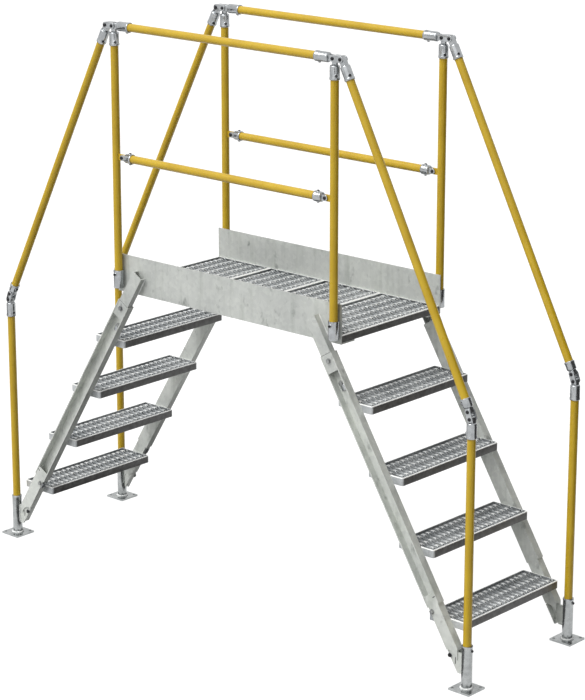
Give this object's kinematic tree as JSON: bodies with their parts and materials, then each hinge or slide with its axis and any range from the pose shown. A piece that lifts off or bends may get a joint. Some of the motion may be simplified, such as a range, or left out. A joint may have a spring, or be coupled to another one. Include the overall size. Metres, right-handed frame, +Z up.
{
  "type": "crossover ladder",
  "caption": "Free-standing crossover ladder: two short stair flights meet at a level grating platform with toe boards and yellow pipe handrails.",
  "frame": {"origin": "on the floor, under the middle of the platform", "axes": "+X along the crossing from one flight to the other, +Y across it, +Z up"},
  "size_m": [2.644, 0.7498, 2.3721],
  "materials": {
    "galvanised_steel": "hot-dip galvanised, pale grey with faint spangle and darker smudges",
    "grating_steel": "galvanised serrated plank grating, darker in its folds",
    "cast_fitting": "galvanised malleable swivel fittings, with dark pins",
    "yellow_paint": "safety yellow powder coat, semi-gloss"
  },
  "bodies": {
    "root": {"foot_left_front": "galvanised_steel", "foot_left_back": "galvanised_steel", "foot_right_front": "galvanised_steel", "foot_right_back": "galvanised_steel", "leg_left_front": "galvanised_steel", "leg_left_back": "galvanised_steel", "leg_right_front": "galvanised_steel", "leg_right_back": "galvanised_steel", "stringer_left_front": "galvanised_steel", "stringer_left_back": "galvanised_steel", "stringer_right_front": "galvanised_steel", "stringer_right_back": "galvanised_steel", "side_beam_front": "galvanised_steel", "side_beam_back": "galvanised_steel", "deck_plank_1": "grating_steel", "deck_plank_2": "grating_steel", "deck_plank_3": "grating_steel", "deck_plank_4": "grating_steel", "tread_left_1": "grating_steel", "tread_left_2": "grating_steel", "tread_left_3": "grating_steel", "tread_left_4": "grating_steel", "tread_right_1": "grating_steel", "tread_right_2": "grating_steel", "tread_right_3": "grating_steel", "tread_right_4": "grating_steel", "post_left_front": "yellow_paint", "post_left_back": "yellow_paint", "post_right_front": "yellow_paint", "post_right_back": "yellow_paint", "low_post_left_front": "yellow_paint", "low_post_left_back": "yellow_paint", "low_post_right_front": "yellow_paint", "low_post_right_back": "yellow_paint", "top_rail_front": "yellow_paint", "top_rail_back": "yellow_paint", "mid_rail_front": "yellow_paint", "mid_rail_back": "yellow_paint", "stair_rail_left_front": "yellow_paint", "stair_rail_left_back": "yellow_paint", "stair_rail_right_front": "yellow_paint", "stair_rail_right_back": "yellow_paint", "corner_fittings_front": "cast_fitting", "corner_fittings_back": "cast_fitting", "knee_fittings_front": "cast_fitting", "knee_fittings_back": "cast_fitting", "mid_fittings_front": "cast_fitting", "mid_fittings_back": "cast_fitting"}
  },
  "joints": []
}
